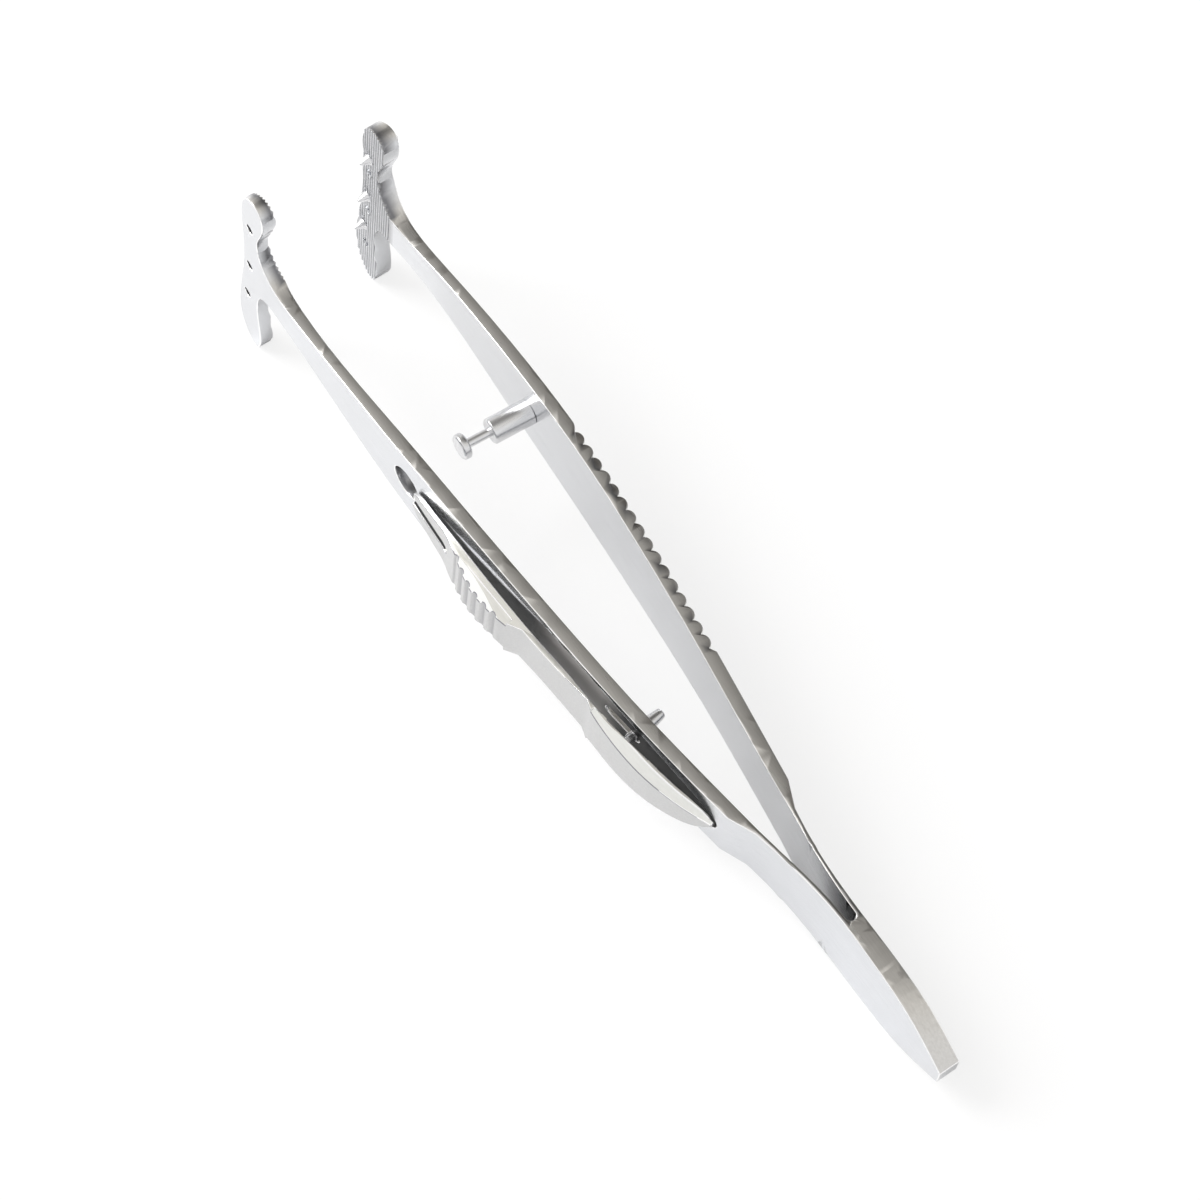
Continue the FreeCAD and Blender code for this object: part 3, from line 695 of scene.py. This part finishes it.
(BLASTED, BEVELLED, SLIDE_ROUNDED, FLANK, UNDERSIDE, TAIL_BEVELLED, BAR_FLANK, PAINTED_DARK_LINE,
 POLISHED) = range(9)
THIN_BAR_X = 47.0 * MM, 54.5 * MM
FORK_X, FORK_HALF = 66.0 * MM, 0.56 * MM
# Plane above which the thumb pad's bevel gets the painted glint
GLINT_PLACE, GLINT_NORMAL = Vector((60, 8.62, 0)) * MM, Vector((0.06, 1, 0)).normalized()
# The tail pad's underside: X and Y in mm
GROUND_LINE = ((29.7, 3.46), (31.5, 4.13), (34.0, 4.97), (37.0, 5.70), (41.0, 6.48), (44.5, 6.86),
               (48.5, 6.83))
SLIDE_PIN_X, SLIDE_PIN_R = 41.05 * MM, 0.50 * MM
PIN_LIFT = 0.78 * MM
THUMB_START_X, THUMB_END_X = 55.8 * MM, 65.0 * MM
THUMB_FIRST_X, THUMB_PITCH = 57.15 * MM, 1.24 * MM
THUMB_RISE = 1.6 * MM
PIN_HOLE_TOP_Y = 6.4 * MM


def slide_hollow_shade(co):
    """Depth of the painted shade in the round grooves of the thumb pad."""
    if not (THUMB_START_X < co.x < THUMB_END_X and co.y > outer_y(co.x) + THUMB_RISE):
        return 0.0
    phase = (co.x - THUMB_FIRST_X) / THUMB_PITCH
    return 0.5 - 1.6 * abs(phase - round(phase))


def raise_underside(piece):
    """Grinds the lower side of the tail pad away, so that the slide pin shows in the gap."""
    for v in piece.data.vertices:
        x = v.co.x / MM
        if math.hypot(v.co.x - SLIDE_PIN_X, v.co.z) < 1.3 * SLIDE_PIN_R and v.co.y < PIN_HOLE_TOP_Y:
            v.co.y += PIN_LIFT
        for (x0, y0), (x1, y1) in zip(GROUND_LINE, GROUND_LINE[1:]):
            if x0 <= x <= x1:
                v.co.y = max(v.co.y, (y0 + (y1 - y0) * (x - x0) / (x1 - x0)) * MM)


def slide_piece():
    """The lock slide with its tail ground, and each face finished by place and direction: painted shade on
    its underside, in its fork and grooves, a painted dark reflection line beside the pads' bevels, painted
    sheen on the thumb pad's side faces and a painted glint on its bevel.
    """
    piece = welded_copy("lock_slide", "thumb_slide")
    raise_underside(piece)
    select_faces(piece, lambda c, n: True)
    bpy.ops.mesh.bisect(plane_co=GLINT_PLACE, plane_no=GLINT_NORMAL)
    bpy.ops.object.mode_set(mode="OBJECT")
    finish_with(piece, blasted, bevelled, rounded, flank, underside, tail_bevelled, bar_flank, dark_line,
                rounded)
    for f in piece.data.polygons:
        c, n = f.center, f.normal
        # Underside and fork: painted shade, except under the thumb pad, which takes the polished steel
        if n.y < -0.6 or (c.x > FORK_X and abs(c.z) < 1.2 * FORK_HALF and n.y < 0.5):
            f.material_index = POLISHED if n.y < -0.6 and c.x > THIN_BAR_X[1] else UNDERSIDE
        elif abs(n.z) > 0.9:
            # Side faces: painted sheen on the thumb pad's, the bar's ground steel on the bar and tail
            f.material_index = FLANK if c.x > THIN_BAR_X[1] else BAR_FLANK
        elif abs(n.z) > 0.35 and n.y > 0.3:
            if c.x < THIN_BAR_X[0]:
                f.material_index = TAIL_BEVELLED
            else:
                # The painted glint above the plane, the bar's ground steel below it
                f.material_index = BEVELLED if (c - GLINT_PLACE).dot(GLINT_NORMAL) > 0 else BAR_FLANK
    round_edges(piece, SLIDE_ROUND, SLIDE_ROUNDED)
    for f in piece.data.polygons:
        on_pad = f.center.x < THIN_BAR_X[0] or f.center.x > THIN_BAR_X[1]
        if f.material_index == SLIDE_ROUNDED and on_pad:
            # The painted dark reflection line goes on the rounded strip beside the bevel
            if f.normal.y > 0.8 and abs(f.normal.z) > 0.1:
                f.material_index = PAINTED_DARK_LINE
            elif abs(f.normal.z) < 0.1:
                f.material_index = BLASTED
    hollow_shade_values(piece, slide_hollow_shade)
    smooth(piece)
    return piece


slide = slide_piece()
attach(slide, "lock_slide")
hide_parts("lock_slide")


# Turned pieces keep their CAD shape with rounded edges

PIN_FLARE = 1.32
PIN_FOOT = 0.8 * MM, 1.2 * MM
PIN_END = 0.4 * MM
JAW_PIN_ROUND, STUD_ROUND, SLIDE_PIN_ROUND, CAP_ROUND = (width * MM for width in (0.02, 0.05, 0.03, 0.04))


def flare(piece):
    """Widens a jaw pin where its cone meets the ridges."""
    tip = max(piece.data.vertices, key=lambda v: -abs(v.co.y)).co.y
    middle = sum((v.co for v in piece.data.vertices), Vector()) / len(piece.data.vertices)
    for v in piece.data.vertices:
        if PIN_FOOT[0] < abs(v.co.y - tip) < PIN_FOOT[1]:
            v.co.x = middle.x + (v.co.x - middle.x) * PIN_FLARE
            v.co.z = middle.z + (v.co.z - middle.z) * PIN_FLARE


def lengthen(piece, amount):
    """Moves a pin's outer end further out."""
    end = max(v.co.y for v in piece.data.vertices)
    for v in piece.data.vertices:
        if v.co.y > end - PIN_END:
            v.co.y += amount


def turned_piece(node, body, width, shape=None):
    """A turned piece that rides on a body, reshaped first if asked."""
    piece = welded_copy(node, node + "_turned")
    if shape:
        shape(piece)
    finish_with(piece, turned, turned, turned)
    round_edges(piece, width, 2)
    smooth(piece)
    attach(piece, body)
    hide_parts(node)
    return piece


for side in ("left", "right"):
    for place in ("top", "middle", "bottom"):
        turned_piece(side + "_jaw_pin_" + place, side + "_arm", JAW_PIN_ROUND, flare)
turned_piece("locking_stud", "right_arm", STUD_ROUND)
turned_piece("slide_pin", "lock_slide", SLIDE_PIN_ROUND, lambda piece: lengthen(piece, PIN_LIFT))
turned_piece("pin_cap", "lock_slide", CAP_ROUND)


# Table, light and camera

BOARD_GLOW = 0.72
TABLE_SHIFT = 0.05
# The studio from its bright side to the dark one: place and tone
STUDIO_TONES = ((0.74, 0.88), (0.86, 0.48), (0.93, 0.26))
STUDIO_DARK = (0.10, 0.09, 0.08)
SOFTBOX_PLACE, SOFTBOX_SIZE, SOFTBOX_POWER = Vector((0.45, 0.25, 0.35)), 0.35, 3.0


def table_up():
    """The way up from a table that the jaw bars and the heel both touch."""
    run = JAW_REST - HEEL_REST
    return Vector((-run.z, 0, run.x)).normalized()


UP = table_up()
ALONG = Vector((UP.z, 0, -UP.x))


def background_material():
    """White matt board. The camera sees it nearly white, and it keeps the soft shadow."""
    made = bpy.data.materials.new("white_board")
    made.use_nodes = True
    nodes, links = made.node_tree.nodes, made.node_tree.links
    shader = nodes["Principled BSDF"]
    shader.inputs["Base Color"].default_value = (0.92, 0.92, 0.925, 1)
    shader.inputs["Roughness"].default_value = 0.9
    shader.inputs["Specular IOR Level"].default_value = 0.1
    glow = nodes.new("ShaderNodeEmission")
    glow.inputs["Color"].default_value = (1, 1, 1, 1)
    path = nodes.new("ShaderNodeLightPath")
    amount = nodes.new("ShaderNodeMath")
    amount.operation = "MULTIPLY"
    amount.inputs[1].default_value = BOARD_GLOW
    links.new(path.outputs["Is Camera Ray"], amount.inputs[0])
    mix = nodes.new("ShaderNodeMixShader")
    links.new(amount.outputs[0], mix.inputs["Fac"])
    links.new(shader.outputs["BSDF"], mix.inputs[1])
    links.new(glow.outputs["Emission"], mix.inputs[2])
    links.new(mix.outputs["Shader"], nodes["Material Output"].inputs["Surface"])
    return made


def table():
    """A large square board under the clamp."""
    bpy.ops.object.select_all(action="DESELECT")
    bpy.ops.mesh.primitive_plane_add(size=2, location=(0, 0, 0))
    piece = bpy.context.active_object
    piece.name = "white_table"
    across = Vector((0, 1, 0))
    turn = Matrix((ALONG, across, UP)).transposed().to_4x4()
    place = Matrix.Translation(HEEL_REST + ALONG * TABLE_SHIFT)
    piece.data.transform(place @ turn @ Matrix.Scale(TABLE_HALF, 4))
    piece.data.materials.append(background_material())


def sky():
    """A bright studio with one darker side, which the top edges of the arms mirror."""
    world = bpy.data.worlds.new("studio")
    bpy.context.scene.world = world
    world.use_nodes = True
    nodes, links = world.node_tree.nodes, world.node_tree.links
    back = nodes["Background"]
    place = nodes.new("ShaderNodeTexCoord")
    facing = nodes.new("ShaderNodeVectorMath")
    facing.operation = "DOT_PRODUCT"
    facing.inputs[1].default_value = DARK_SIDE
    links.new(place.outputs["Generated"], facing.inputs[0])
    stops = [(0.30, (1.0, 1.0, 1.0))]
    stops += [(position, (tone, tone * 0.98, tone * 0.94)) for position, tone in STUDIO_TONES]
    mirrored = ramped(nodes, links, facing.outputs["Value"], stops + [(1.0, STUDIO_DARK)], "EASE")
    path = nodes.new("ShaderNodeLightPath")
    seen = nodes.new("ShaderNodeMix")
    seen.data_type = "RGBA"
    seen.inputs["B"].default_value = (1, 1, 1, 1)
    links.new(path.outputs["Is Camera Ray"], seen.inputs["Factor"])
    links.new(mirrored, seen.inputs["A"])
    links.new(seen.outputs["Result"], back.inputs["Color"])
    back.inputs["Strength"].default_value = 1.0


def lamp(name, place, size, power, aim):
    """A square soft box turned to a point."""
    data = bpy.data.lights.new(name, "AREA")
    data.shape = "SQUARE"
    data.size = size
    data.energy = power
    lamp_object = bpy.data.objects.new(name, data)
    bpy.context.scene.collection.objects.link(lamp_object)
    lamp_object.location = place
    lamp_object.rotation_euler = (aim - place).to_track_quat("-Z", "Y").to_euler()


def camera():
    """The camera that took the photo, as fitted to it."""
    data = bpy.data.cameras.new("photo_camera")
    data.sensor_fit = "HORIZONTAL"
    data.sensor_width = SENSOR
    data.lens = LENS
    data.clip_start, data.clip_end = 0.01, 10
    made = bpy.data.objects.new("photo_camera", data)
    bpy.context.scene.collection.objects.link(made)
    up = (CAMERA_UP - CAMERA_FORWARD * CAMERA_UP.dot(CAMERA_FORWARD)).normalized()
    right = CAMERA_FORWARD.cross(up)
    turn = Matrix((right, up, -CAMERA_FORWARD)).transposed().to_4x4()
    made.matrix_world = Matrix.Translation(CAMERA_PLACE) @ turn
    bpy.context.scene.camera = made


table()
sky()
MIDDLE = Vector((50, 0, -5)) * MM
lamp("key_softbox", MIDDLE + SOFTBOX_PLACE, SOFTBOX_SIZE, SOFTBOX_POWER, MIDDLE)
camera()
bpy.context.scene.view_settings.view_transform = "Standard"
